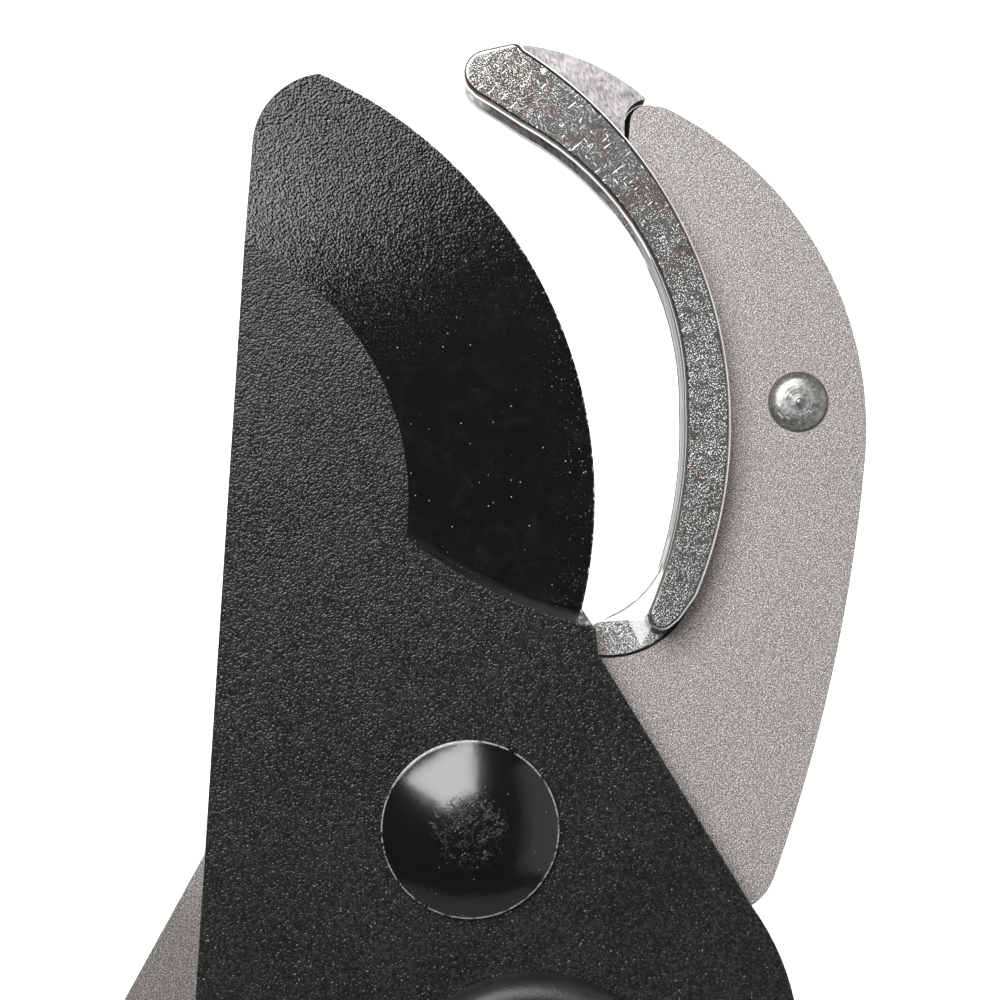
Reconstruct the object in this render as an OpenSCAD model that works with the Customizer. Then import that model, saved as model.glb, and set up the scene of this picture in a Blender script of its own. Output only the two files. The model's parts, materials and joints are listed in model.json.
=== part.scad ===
// Anvil lopper with a geared handle, lying flat as on a table.
// The main pivot stands on the origin, the blade points along +Y and z = 0 is the rest plane.
// The anvil plate with the left handle is fixed. The blade turns on the main pivot. The right
// handle turns on the blade and its gear sector rolls on the sector of the anvil plate.

/* [Blade] */
// Thickness of the blade
blade_t = 4.3; // [3.5:0.1:5]
// Radius of the curved cutting edge
edge_r = 62; // [61:0.25:63]
// Centre of the cutting edge, to the left of the main pivot
edge_left = 45.5; // [45:0.25:46]
// Centre of the cutting edge, ahead of the main pivot
edge_ahead = 43.3; // [42.8:0.25:43.8]
// Width of the hollow grind behind the edge
grind_w = 24.6; // [15:0.2:28]
// Height of the edge above the back face of the blade
edge_lift = 1.2; // [0.8:0.1:1.6]
// Depth of the hollow in the grind
grind_hollow = 0.45; // [0.2:0.05:0.7]
// Width of the small bevel on the back face
back_bevel_w = 3; // [2:0.5:5]
// Thickness left at the cutting edge
edge_land = 0.15; // [0.1:0.05:0.3]
// Radius of the curved end of the grind at the heel
runout_r = 61.6; // [58:0.2:65]
// Slope of the end of the grind, run for each millimetre of depth
runout_slope = 0.6; // [0.2:0.1:1]
// Distance of the straight back of the blade from the main pivot
blade_back = 34.7; // [33:0.5:36]
// Lean of the back of the blade
blade_back_lean = 3.7; // [2:0.1:5]
// Radius of the round back of the blade tip, which meets the edge in a corner
tip_r = 9.9; // [9.4:0.1:10.4]
// Place along the back of the blade where the round tip begins
tip_start = 90.6; // [90:0.1:91.2]
// Height of the heel of the edge above the main pivot
heel_y = 28.8; // [28:0.2:30]
// Radius of the round rear end of the blade, around the hub
lobe_r = 32.1; // [30:0.2:32.6]
// Radius of the rear corner on the back of the blade
rear_corner_r = 22; // [16:1:24]

/* [Anvil plate] */
// Thickness of the steel plate
plate_t = 5; // [4:0.5:6]
// Radius of the hooked back of the plate
hook_r = 47.5; // [46.5:0.5:50]
// Radius of the long flank that follows the hooked back
flank_r = 225; // [180:5:260]
// Radius of the plate end beside the anvil
plate_end_r = 2.8; // [2:0.2:4]
// Radius of the corner at the foot of the plate
foot_r = 7; // [5:0.5:8]

/* [Anvil insert] */
// Angle by which the blade closes from the drawn position onto the anvil
close_angle = 13.6; // [13:0.1:14]
// Gap between the closed edge and the anvil
edge_gap = 0.3; // [0.25:0.05:0.5]
// Radius of the outer side of the anvil ridge
ridge_r = 58.1; // [57.6:0.1:59]
// Height of the ridge above the plate
ridge_h = 6; // [5:0.5:8]
// Thickness of the metal between the closed edge and the plate
anvil_web = 2.7; // [2:0.1:3.4]
// Thickness of the flange behind the plate
flange_t = 1.5; // [1:0.1:2.5]
// Thickness of the front lip of the tip slot
front_lip = 1.6; // [1:0.1:2]
// Thickness of the back lip of the tip slot
back_lip = 2.5; // [1.6:0.1:2.8]
// Radius of the concave knee where the lips leave the edge line
knee_r = 41.1; // [40.5:0.2:42]
// Radius of the round tip of the anvil
anvil_tip_r = 3.2; // [2.6:0.1:3.4]
// Outer radius of the round foot under the ridge
base_r = 11.5; // [11:0.1:12.5]
// Height of the foot above the plate
base_h = 0.2; // [0.1:0.05:0.3]
// Diameter of the rivet head
rivet_head_d = 7.7; // [6:0.1:9]
// Diameter of the rivet shank
rivet_d = 4.5; // [3.5:0.1:5]

/* [Main pivot] */
// Diameter of the pivot bolt
pivot_d = 12; // [10:0.5:14]
// Diameter of the domed bolt head
pivot_head_d = 23.6; // [21:0.2:26]
// Height of the domed bolt head
pivot_head_h = 3.6; // [2.5:0.1:5]
// Outer diameter of the bush in the blade
bush_d = 16; // [15.5:0.5:19]
// Thickness of the washers between blade and plates
shim_t = 0.5; // [0.3:0.1:1]
// Outer diameter of the washer at the main pivot
shim_d = 33; // [22:1:36]
// Width across the flats of the pivot nut
nut_af = 19; // [18:0.5:22]
// Height of the pivot nut
nut_t = 10; // [8:0.5:12]
// Diameter of the lock washer
lock_washer_d = 24; // [22:0.5:27]
// Thickness of the lock washer
lock_washer_t = 1.5; // [1:0.1:2.5]

/* [Gear and hub] */
// Distance between the main pivot and the hub
arm_l = 40; // [39.6:0.1:40.4]
// Lean of the line from the main pivot to the hub
arm_lean = 12.1; // [11:0.1:13]
// Teeth of a whole gear with the pitch radius of the sectors
gear_teeth = 16; // [16:1:18]
// Pressure angle of the teeth
pressure_angle = 20; // [20:1:24]
// Gap between mating flanks
flank_gap = 0.25; // [0.2:0.05:0.4]
// Diameter of the hub pin
hub_pin_d = 10; // [8:0.5:12]
// Diameter of the head of the hub pin
hub_head_d = 17; // [14:0.5:20]
// Height of the head of the hub pin
hub_head_h = 2.2; // [1.6:0.1:2.8]
// Width across the flats of the recess in the hub pin
hub_recess_af = 6; // [5:0.5:7]
// Radius of the round hub covers
hub_r = 20.5; // [19:0.1:21]
// Outer diameter of the washer at the hub
hub_shim_d = 24; // [18:1:28]
// Width across the flats of the hub nut
hub_nut_af = 15; // [14:0.5:17]
// Height of the hub nut
hub_nut_t = 5; // [4:0.5:6]

/* [Handles] */
// Lean of the left handle from the line of the head
left_lean = 28.8; // [28:0.2:30]
// Lean of the right handle in the drawn position
right_lean = 8; // [7:0.5:10]
// Distance of the left handle's middle line from the main pivot
tang_off = 16.2; // [15.6:0.2:17]
// Width of the tangs inside the handles
tang_w = 26; // [22:0.5:26]
// Start of the left socket, from the main pivot
left_start = 52; // [52:0.5:56]
// Start of the right socket, from the hub
right_start = 31; // [31:0.5:34]
// Length of the solid part of a socket
solid_l = 56; // [52:1:64]
// Length of the part of a socket that holds the tube
sleeve_l = 50; // [46:1:60]
// Width of a socket
socket_w = 35; // [34:0.5:36]
// Thickness of a socket
socket_t = 25; // [24:0.5:26]
// Radius of the long edges of a socket
socket_edge_r = 8; // [5:0.5:10]
// Width of the oval tubes
tube_w = 30; // [29:0.5:31]
// Thickness of the oval tubes
tube_t = 20; // [18:0.5:21]
// Wall of the tubes
tube_wall = 1.6; // [1.2:0.1:1.9]
// Length of the left handle, from the main pivot
left_l = 690; // [600:10:760]
// Length of the right handle, from the hub
right_l = 652; // [560:10:720]
// Diameter of the handle rivets
stud_d = 6; // [5:0.5:7]
// Diameter of the heads of the handle rivets
stud_head_d = 11; // [9:0.5:13]
// Diameter of the socket screws
screw_d = 4; // [3:0.5:5]
// Diameter of the heads of the socket screws
screw_head_d = 8; // [7:0.5:9]
// Width across the flats of the recess in a screw head
screw_af = 3; // [2.5:0.5:3]
// Distance of the right bumper from the hub
bumper_from_hub = 60; // [56:1:64]
// Diameter of the rubber bumpers
bumper_d = 14; // [10:0.5:16]

/* [Grips] */
// Length of a grip
grip_l = 150; // [120:5:180]
// Width of a grip at the palm
grip_w = 37; // [35:0.5:40]
// Number of finger ribs
rib_count = 9; // [5:1:10]
// Depth of the finger ribs
rib_depth = 1.1; // [0.4:0.1:1.4]
// Length of the end cap behind the grip
cap_l = 22; // [18:1:30]
// Thickness of the tab of the end cap
cap_t = 12; // [8:0.5:16]
// Diameter of the hang hole
hang_d = 8; // [6:0.5:10]

/* [Fits] */
// Radial clearance of the turning pins
pin_fit = 0.05; // [0.02:0.01:0.1]
// Clearance between flat faces that slide past each other
run_gap = 0.15; // [0.1:0.05:0.3]
// Clearance between the housings and what turns inside them
cover_gap = 0.4; // [0.3:0.05:0.6]
// Clearance of the insert in its seat
seat_gap = 0.1; // [0.05:0.05:0.2]

/* [Hidden] */
$fn = 96;
// Reach of the blocks that cut a piece in two
far = 200;

// Heights of the layers above the rest plane
z_plate = nut_t + lock_washer_t;
z_front = z_plate + plate_t;
z_mid = z_plate + plate_t / 2;
z_blade = z_front + shim_t + run_gap;
z_blade_top = z_blade + blade_t;
z_cover_back = z_plate - cover_gap;
z_cover_front = z_blade_top + cover_gap;
grip_t = 2 * z_mid;

// Colours
steel = "silver";
black = "#1c1c1e";

// Geometry helpers
function dir(a) = [cos(a), sin(a)];
function turn(v, a) = [v.x * cos(a) - v.y * sin(a), v.x * sin(a) + v.y * cos(a)];
function arc(c, r, a0, a1, n) = [for (i = [0:n]) c + r * dir(a0 + (a1 - a0) * i / n)];
function angle(v) = atan2(v.y, v.x);
// Point where two circles meet, to the left of the line from the first to the second centre
function meet(c1, r1, c2, r2) = let (
    d = norm(c2 - c1), u = (c2 - c1) / d, along = (r1 * r1 - r2 * r2 + d * d) / (2 * d)
) c1 + along * u + sqrt(r1 * r1 - along * along) * [-u.y, u.x];
function rad(a) = a * PI / 180;
function deg(a) = a * 180 / PI;

// Blade places
edge_c = [-edge_left, edge_ahead];
back_up = [sin(blade_back_lean), cos(blade_back_lean)];
back_out = [-cos(blade_back_lean), sin(blade_back_lean)];
function back_at(y) = [-blade_back, 0] + back_up * y / back_up.y;
tip_c = back_at(tip_start) - back_out * tip_r;
tip_corner = meet(edge_c, edge_r, tip_c, tip_r);
heel = [edge_c.x + sqrt(edge_r * edge_r - pow(heel_y - edge_c.y, 2)), heel_y];
heel_step = heel + [1.7, -2.5];
shoulder_top = heel + [2.1, -5.9];
hub_c = arm_l * [sin(arm_lean), -cos(arm_lean)];
lobe_c = hub_c + [2.9, 9.8];
lobe_join = 36;
rear_y = -22;
rear_c = back_at(rear_y) - back_out * rear_corner_r;
runout_c = [30, 86.6];

// Anvil places
closed_c = turn(edge_c, -close_angle);
wall_r = edge_r + edge_gap;
seat_r = wall_r + anvil_web;
seat_y = 36;
ridge_c = [-23.8, 53.2];
knee_c = [-12.9, 56.4];
brow_c = [-57.5, -1.8];
brow_r = 114.1;
brow_end = 59.3;
anvil_tip_c = [2.25, 99.3];
anvil_tip_low = 232;
anvil_tip_high = 102.5;
ridge_corner = [5.75, 101.75];
ridge_corner_r = 1.55;
ridge_end = 57.8;
nose_c = [25.15, 27.95];
nose_r = 1.85;
nose_flat = [27.5, 27.5];
ridge_foot = -22.9;
base_c = [18.4, 34.1];
foot_inner = [[25.0, 33.4], [23.8, 31.6], [22.2, 29.9], [20.2, 28.6], [18.2, 27.5], [13.2, 25]];
wedge_c = [3.8, 74.1];
wedge_r = 30;
slot_step = 0.2;
slot_end = 150;
slot_mouth = -20;
rivet_c = [43.7, 56.3];
ear_r = 6.5;
brow_knee = meet(brow_c, brow_r, knee_c, knee_r);
knee_wall = meet(knee_c, knee_r, closed_c, wall_r);
base_seat = meet(closed_c, seat_r, base_c, base_r);

// Plate places
hook_c = [5.3, 52.8];
hook_end = 65.8;
flank_start = -5;
flank_end = -19.6;
flank_c = hook_c + (hook_r - flank_r) * dir(flank_start);
plate_end_c = hook_c + (hook_r - plate_end_r) * dir(hook_end);
foot_c = flank_c + (flank_r - foot_r) * dir(flank_end);
wedge_x = plate_end_c.x - plate_end_r - 3 * seat_gap;
head_r = tang_off + tang_w / 2;

// Gear sizes: both sectors are alike
pitch_r = arm_l / 2;
gear_m = arm_l / gear_teeth;
tip_radius = pitch_r + 0.85 * gear_m;
root_radius = pitch_r - 1.2 * gear_m;
base_radius = pitch_r * cos(pressure_angle);
pitch_step = 360 / gear_teeth;
neck_angle = -11;

// Handle places
left_dir = -90 - left_lean;
right_dir = -90 + right_lean;
tang_past = 42;
stud_at = [14, 34];
screw_at = 12;
left_tube_start = left_start + solid_l;
right_tube_start = right_start + solid_l;

// Bumpers: the point where they meet when the blade is closed
closed_hub = arm_l * [sin(arm_lean - close_angle), -cos(arm_lean - close_angle)];
closed_dir = right_dir - 2 * close_angle;
right_face = closed_hub + bumper_from_hub * dir(closed_dir) + socket_w / 2 * dir(closed_dir - 90);
left_bumper_at = right_face * dir(left_dir);
left_face_side = -tang_off + socket_w / 2;
bumper_space = right_face * dir(left_dir + 90) - left_face_side;
bumper_out = bumper_space / 2 - 0.25;
bumper_in = 4.2;

module disc(c, r) translate(c) circle(r);

module ring(h, r, bore_r) difference() {
    cylinder(h = h, r = r);
    translate([0, 0, -1]) cylinder(h = h + 2, r = bore_r);
}

// Everything above the line y
module above(y) translate([-far, y]) square([2 * far, far]);

// Blade

// Outline of the blade, counter-clockwise from the heel
module blade_2d() {
    a_heel = angle(heel - edge_c);
    a_back = 180 - blade_back_lean;
    span = lobe_c - rear_c;
    a_rear = angle(span) - acos((rear_corner_r - lobe_r) / norm(span)) + 360;
    polygon(concat(
        arc(edge_c, edge_r, a_heel, angle(tip_corner - edge_c), 72),
        arc(tip_c, tip_r, angle(tip_corner - tip_c), a_back, 24),
        arc(rear_c, rear_corner_r, a_back, a_rear, 16),
        arc(lobe_c, lobe_r, a_rear, lobe_join + 360, 48),
        [shoulder_top, heel_step]));
}

// Height of the hollow grind over the back face, at the share f of its width
function grind_at(f) = [edge_r - grind_w * (1 - f),
    blade_t - (blade_t - edge_lift) * f - grind_hollow * 4 * f * (1 - f)];

// What the grinding wheel takes off the front face, as a ring around the edge centre
module hollow_grind() {
    steps = 12;
    past_edge = grind_at(1) + 4 * (grind_at(1) - grind_at(1 - 1 / steps));
    translate([edge_c.x, edge_c.y, z_blade]) rotate_extrude() polygon(concat(
        [[edge_r - grind_w, blade_t + 1]],
        [for (i = [0:steps - 1]) grind_at(i / steps)],
        [past_edge, [past_edge.x, blade_t + 1]]));
}

// The small bevel on the back face
module back_bevel() {
    rise = edge_lift - edge_land;
    translate([edge_c.x, edge_c.y, z_blade]) rotate_extrude()
        polygon([[edge_r - back_bevel_w * 2, -rise], [edge_r + back_bevel_w, -rise],
            [edge_r + back_bevel_w, rise * 2]]);
}

// Space in front of the slanted end of the grind
module runout_cone() translate([runout_c.x, runout_c.y, z_blade - 2]) cylinder(h = blade_t + 4,
    r1 = runout_r - runout_slope * (blade_t + 2), r2 = runout_r + runout_slope * 2, $fn = 240);

module blade() color(black) difference() {
    translate([0, 0, z_blade]) linear_extrude(blade_t) blade_2d();
    intersection() {
        hollow_grind();
        runout_cone();
    }
    intersection() {
        back_bevel();
        runout_cone();
    }
    translate([0, 0, z_blade - 1]) cylinder(h = blade_t + 2, d = bush_d);
    translate([hub_c.x, hub_c.y, z_blade - 1]) cylinder(h = blade_t + 2, d = hub_pin_d + 2 * pin_fit);
}

// Gear sectors

// Half the angle of a tooth at radius r
function tooth_half(r) = let (
    pitch_half = 90 / gear_teeth - deg(flank_gap / 2 / pitch_r),
    at_pitch = tan(pressure_angle) - rad(pressure_angle),
    a = acos(min(1, base_radius / r)),
    at_r = tan(a) - rad(a)
) pitch_half + deg(at_pitch - at_r);

module tooth_2d(a) {
    flank = [for (i = [0:6]) base_radius + (tip_radius - base_radius) * i / 6];
    right = [for (r = flank) r * dir(a - tooth_half(r))];
    left = [for (i = [6:-1:0]) flank[i] * dir(a + tooth_half(flank[i]))];
    foot = tooth_half(base_radius);
    polygon(concat([(root_radius - 1) * dir(a - foot)], right, left,
        [(root_radius - 1) * dir(a + foot)]));
}

// Anvil plate

module pocket_2d(gap) {
    disc(base_c, base_r + gap);
    intersection() {
        disc(closed_c, seat_r + gap);
        above(seat_y);
    }
}

module plate_body_2d() {
    foot_to_neck = root_radius * dir(neck_angle) - foot_c;
    neck_tangent = angle(turn(foot_to_neck, acos(foot_r / norm(foot_to_neck))));
    polygon(concat(
        [[plate_end_c.x - plate_end_r, 28]],
        arc([0, 0], head_r, 55, 180 - left_lean, 32),
        [[0, 0], root_radius * dir(neck_angle)],
        arc(foot_c, foot_r, neck_tangent, flank_end, 12),
        arc(flank_c, flank_r, flank_end, flank_start, 24),
        arc(hook_c, hook_r, flank_start, hook_end, 48),
        arc(plate_end_c, plate_end_r, hook_end, 180, 8)));
}

module anvil_plate() color("#a9a9a6") translate([0, 0, z_plate]) linear_extrude(plate_t) difference() {
    union() {
        difference() {
            plate_body_2d();
            pocket_2d(seat_gap);
        }
        circle(root_radius);
        for (i = [-1:2]) tooth_2d(-90 + arm_lean + i * pitch_step);
        rotate(left_dir) translate([0, -tang_off - tang_w / 2])
            square([left_tube_start + tang_past, tang_w]);
    }
    circle(d = pivot_d + 2 * pin_fit);
    disc(rivet_c, rivet_d / 2);
    rotate(left_dir) translate([0, -tang_off]) tang_holes_2d(left_start);
}

// Holes of a tang whose socket begins at start
module tang_holes_2d(start) {
    disc([start + screw_at, 0], screw_d / 2);
    for (s = stud_at) disc([start + solid_l + s, 0], stud_d / 2);
}

// Anvil insert

// Tip and inner side of the insert, from the top of the tip down to the lowest point of the wall
function inner_side(low) = concat(
    arc(anvil_tip_c, anvil_tip_r, anvil_tip_high, anvil_tip_low, 12),
    arc(brow_c, brow_r, brow_end, angle(brow_knee - brow_c), 16),
    arc(knee_c, knee_r, angle(brow_knee - knee_c), angle(knee_wall - knee_c), 16),
    arc(closed_c, wall_r, angle(knee_wall - closed_c), asin((low - closed_c.y) / wall_r), 40));

// Ridge with its round tip and its blunt lower end
module ridge_2d() polygon(concat(
    arc(nose_c, nose_r, 180, 310, 8),
    [nose_flat],
    arc(ridge_c, ridge_r, ridge_foot, ridge_end, 64),
    arc(ridge_corner, ridge_corner_r, ridge_end, anvil_tip_high, 4),
    inner_side(nose_c.y)));

// What lies in the plane of the plate: foot, web behind the wall and the tip with its wedge
module core_2d() polygon(concat(
    [foot_inner[5]],
    arc(base_c, base_r, angle(foot_inner[5] - base_c), angle(base_seat - base_c), 24),
    arc(closed_c, seat_r, angle(base_seat - closed_c), acos((wedge_x - closed_c.x) / seat_r), 40),
    arc(plate_end_c, plate_end_r + 3 * seat_gap, 180, 96, 8),
    arc(wedge_c, wedge_r, 49.3, 83.3, 12),
    inner_side(foot_inner[0].y + 1),
    [for (i = [0:4]) foot_inner[i]]));

// Low foot under the ridge, beside the heel of the blade
module foot_2d() intersection() {
    core_2d();
    square([far, base_c.y]);
}

// Flange behind the plate, with the ear that the rivet holds
module flange_2d() polygon(concat(
    arc(nose_c, nose_r, 180, 310, 8),
    [nose_flat],
    arc(ridge_c, ridge_r, ridge_foot, -9, 12),
    arc(rivet_c, ear_r, -80, 80, 16),
    arc(ridge_c, ridge_r, 15, ridge_end, 32),
    arc(ridge_corner, ridge_corner_r, ridge_end, anvil_tip_high, 4),
    inner_side(nose_c.y)));

// Slot in the tip, for the edge of the closed blade
module slot_2d() {
    tip = turn(tip_c, -close_angle);
    around_edge = wall_r + slot_step;
    around_tip = tip_r + edge_gap + slot_step;
    corner = meet(closed_c, around_edge, tip, around_tip);
    polygon(concat(
        [[slot_mouth, knee_wall.y], knee_wall],
        arc(closed_c, around_edge, angle(knee_wall - closed_c), angle(corner - closed_c), 40),
        arc(tip, around_tip, angle(corner - tip), slot_end, 16)));
}

module anvil_insert() color("#d8d8da") difference() {
    union() {
        translate([0, 0, z_plate - flange_t]) linear_extrude(flange_t) flange_2d();
        translate([0, 0, z_plate - flange_t]) linear_extrude(plate_t + flange_t) core_2d();
        translate([0, 0, z_front - 1]) linear_extrude(base_h + 1) foot_2d();
        translate([0, 0, z_front]) linear_extrude(ridge_h) ridge_2d();
    }
    translate([0, 0, z_plate - flange_t + back_lip])
        linear_extrude(plate_t + flange_t + ridge_h - back_lip - front_lip) slot_2d();
    translate([rivet_c.x, rivet_c.y, z_plate - flange_t - 1]) cylinder(h = flange_t + 2, d = rivet_d);
}

module anvil_rivet() color(steel) translate([rivet_c.x, rivet_c.y, 0]) {
    head_h = 1.4;
    rim_h = 0.5;
    translate([0, 0, z_front]) rotate_extrude() polygon(concat(
        [[0, 0], [rivet_head_d / 2, 0]],
        [for (i = [0:6]) let (a = i * 13) [(rivet_head_d / 2) * cos(a), rim_h + (head_h - rim_h) * sin(a)]],
        [[0.5, head_h], [0.4, head_h + 0.15], [0, head_h + 0.15]]));
    translate([0, 0, z_plate - flange_t]) cylinder(h = plate_t + flange_t, d = rivet_d);
    translate([0, 0, z_plate - flange_t - 1]) cylinder(h = 1, d = rivet_head_d - 0.7);
}

// Main pivot

module pivot_bolt() color(black) {
    head_r = pivot_head_d / 2;
    rim_h = 1.1;
    rim_bevel = 0.35;
    cap_h = pivot_head_h - rim_h;
    sphere_r = (pow(head_r - rim_bevel, 2) + cap_h * cap_h) / (2 * cap_h);
    z_head = z_blade_top + run_gap;
    translate([0, 0, z_head]) rotate_extrude() polygon(concat(
        [[0, 0], [head_r, 0], [head_r, rim_h - rim_bevel]],
        arc([0, pivot_head_h - sphere_r], sphere_r, acos((head_r - rim_bevel) / sphere_r), 90, 12)));
    translate([0, 0, 1.5]) cylinder(h = z_head - 1.5, d = pivot_d);
}

module pivot_bush() color("darkgoldenrod") translate([0, 0, z_blade])
    ring(blade_t, bush_d / 2, pivot_d / 2 + pin_fit);

module pivot_shim() color("gainsboro") translate([0, 0, z_front])
    ring(shim_t, shim_d / 2, pivot_d / 2 + pin_fit);

module pivot_lock_washer() color(steel) translate([0, 0, nut_t])
    ring(lock_washer_t, lock_washer_d / 2, pivot_d / 2 + pin_fit);

// Hexagon nut with its corners turned off at both ends, closed below the height floor_h
module hex_nut(af, h, bore_r, floor_h) difference() {
    corner_r = af / sqrt(3);
    chamfer = corner_r - af / 2;
    intersection() {
        cylinder(h = h, r = corner_r, $fn = 6);
        rotate_extrude() polygon([[0, 0], [af / 2 - 0.1, 0], [corner_r, chamfer],
            [corner_r, h - chamfer], [af / 2 - 0.1, h], [0, h]]);
    }
    translate([0, 0, floor_h]) cylinder(h = h + 2, r = bore_r);
}

module pivot_nut() color(steel) hex_nut(nut_af, nut_t, pivot_d / 2 + pin_fit, 1.3);

// Gear plate and hub

module at_hub() translate([hub_c.x, hub_c.y, 0]) children();

module gear_plate() color("#8f8f8c") at_hub() translate([0, 0, z_plate]) linear_extrude(plate_t)
    difference() {
        union() {
            circle(root_radius);
            for (i = [-2:2]) tooth_2d(90 + arm_lean + (i - 0.5) * pitch_step);
            rotate(right_dir) translate([0, -tang_w / 2])
                square([right_tube_start + tang_past, tang_w]);
        }
        circle(d = hub_pin_d + 2 * pin_fit);
        rotate(right_dir) tang_holes_2d(right_start);
    }

// Six-sided recess for a key, af wide across the flats and reaching down from z = 0
module key_recess(af, depth) translate([0, 0, -depth]) cylinder(h = depth + 1, r = af / sqrt(3), $fn = 6);

module hub_pin() color(steel) at_hub() {
    z_top = z_mid + socket_t / 2;
    chamfer = 0.7;
    pin_recess = 0.6;
    difference() {
        union() {
            translate([0, 0, z_top - hub_head_h]) rotate_extrude() polygon([[0, 0],
                [hub_head_d / 2, 0], [hub_head_d / 2, hub_head_h - chamfer],
                [hub_head_d / 2 - chamfer, hub_head_h], [0, hub_head_h]]);
            translate([0, 0, z_mid - socket_t / 2 + pin_recess])
                cylinder(h = socket_t - pin_recess - hub_head_h, d = hub_pin_d);
        }
        translate([0, 0, z_top]) key_recess(hub_recess_af, hub_recess_af / 2);
    }
}

module hub_shim() color("gainsboro") at_hub() translate([0, 0, z_front])
    ring(shim_t, hub_shim_d / 2, hub_pin_d / 2 + pin_fit);

module hub_nut() color(steel) at_hub() translate([0, 0, z_mid - socket_t / 2 + 0.2])
    hex_nut(hub_nut_af, hub_nut_t, hub_pin_d / 2 + pin_fit, -1);

// Handles. Each frame has its x axis along the handle, y towards the other handle
// and its origin in the middle of the tube's thickness.

module in_left() translate([0, 0, z_mid]) rotate([0, 0, left_dir]) translate([0, -tang_off, 0]) children();

module in_right() translate([hub_c.x, hub_c.y, z_mid]) rotate([0, 0, right_dir]) mirror([0, 1, 0])
    children();

// Extrudes a cross-section along the handle, from a to b
module along(a, b) translate([a, 0, 0]) rotate([90, 0, 90]) linear_extrude(b - a) children();

module rounded_2d(w, h, r) {
    square([w - 2 * r, h], center = true);
    square([w, h - 2 * r], center = true);
    for (x = [-1, 1], y = [-1, 1]) disc([x * (w / 2 - r), y * (h / 2 - r)], r);
}

module oval_2d(w, h) {
    square([w - h, h], center = true);
    for (x = [-1, 1]) disc([x * (w - h) / 2, 0], h / 2);
}

// Plan of a socket: round nose corners, slim waist and a collar at the rear end
module socket_plan(start) {
    end = start + solid_l + sleeve_l;
    half = socket_w / 2;
    nose = 7;
    waist = 1.5;
    polygon(concat(
        arc([start + nose, half - nose - 0.5], nose, 180, 90, 8),
        arc([start + solid_l * 0.55, half - waist + 60], 60, -100, -80, 12),
        [[end - 8, half], [end - 6, half - 1.2], [end, half - 1.2],
         [end, -half + 1.2], [end - 6, -half + 1.2], [end - 8, -half]],
        arc([start + solid_l * 0.55, -half + waist - 60], 60, 80, 100, 12),
        arc([start + nose, -half + nose + 0.5], nose, 270, 180, 8)));
}

// Shallow grooves round the sleeve of a socket, between its two rivets
module sleeve_grooves(start) {
    depth = 0.7;
    groove_w = 1.4;
    step = 3.2;
    middle = start + solid_l + (stud_at[0] + stud_at[1]) / 2;
    for (i = [-1:1]) let (x = middle + i * step - groove_w / 2) along(x, x + groove_w) difference() {
        square([2 * socket_w, 2 * socket_t], center = true);
        rounded_2d(socket_w - 2 * depth, socket_t - 2 * depth, socket_edge_r - depth);
    }
}

// Body of a socket, before it is split into a front and a back shell
module socket_body(start) difference() {
    intersection() {
        along(start, start + solid_l + sleeve_l) rounded_2d(socket_w, socket_t, socket_edge_r);
        translate([0, 0, -socket_t]) linear_extrude(2 * socket_t) socket_plan(start);
    }
    sleeve_grooves(start);
}

// What is hollow in a socket: tang, tube, screw, rivets and bumper seat
module socket_hollow(start, bumper_at) {
    translate([start - 1, -tang_w / 2, -plate_t / 2]) cube([solid_l + 2, tang_w, plate_t]);
    along(start + solid_l, start + solid_l + sleeve_l + 1) oval_2d(tube_w, tube_t);
    translate([start + screw_at, 0, -socket_t]) cylinder(h = 2 * socket_t, d = screw_d);
    for (z = [-1, 1]) translate([start + screw_at, 0, z * (socket_t / 2 - 1)]) mirror([0, 0, z < 0 ? 1 : 0])
        cylinder(h = 5, d = screw_head_d);
    for (s = stud_at) translate([start + solid_l + s, 0, -socket_t])
        cylinder(h = 2 * socket_t, d = stud_d);
    translate([bumper_at, socket_w / 2 - bumper_in, 0]) rotate([-90, 0, 0]) cylinder(h = 20, d = bumper_d);
}

module front_half() intersection() {
    children();
    translate([-far, -far, 0]) cube([3 * far, 2 * far, far]);
}

module back_half() intersection() {
    children();
    translate([-far, -far, -far]) cube([3 * far, 2 * far, far]);
}

module left_socket() difference() {
    socket_body(left_start);
    socket_hollow(left_start, left_bumper_at);
}

module left_socket_front() color(black) in_left() front_half() left_socket();

module left_socket_back() color(black) in_left() back_half() left_socket();

// Round cover over the hub with a soft rim
module hub_disc() {
    rim = 3;
    half = socket_t / 2;
    translate([0, 0, -half]) rotate_extrude() union() {
        square([hub_r - rim, socket_t]);
        translate([0, rim]) square([hub_r, socket_t - 2 * rim]);
        for (y = [rim, socket_t - rim]) translate([hub_r - rim, y]) circle(rim);
    }
}

module right_socket() difference() {
    union() {
        socket_body(right_start);
        along(0, right_start + 10) rounded_2d(socket_w - 3, socket_t, socket_edge_r);
        hub_disc();
    }
    socket_hollow(right_start, bumper_from_hub);
    // room for the blade and the anvil plate between the covers
    translate([-far, -far, z_cover_back - z_mid])
        cube([far + right_start, 2 * far, z_cover_front - z_cover_back]);
    translate([0, 0, -socket_t]) cylinder(h = 2 * socket_t, d = hub_pin_d + 2 * pin_fit);
    translate([0, 0, socket_t / 2 - hub_head_h]) cylinder(h = 5, d = hub_head_d + 2 * seat_gap);
    translate([0, 0, -socket_t / 2 - 1]) cylinder(h = hub_nut_t + 1.2, r = hub_nut_af / sqrt(3) + 0.1);
}

module right_socket_front() color(black) in_right() front_half() right_socket();

module right_socket_back() color(black) in_right() back_half() right_socket();

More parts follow.
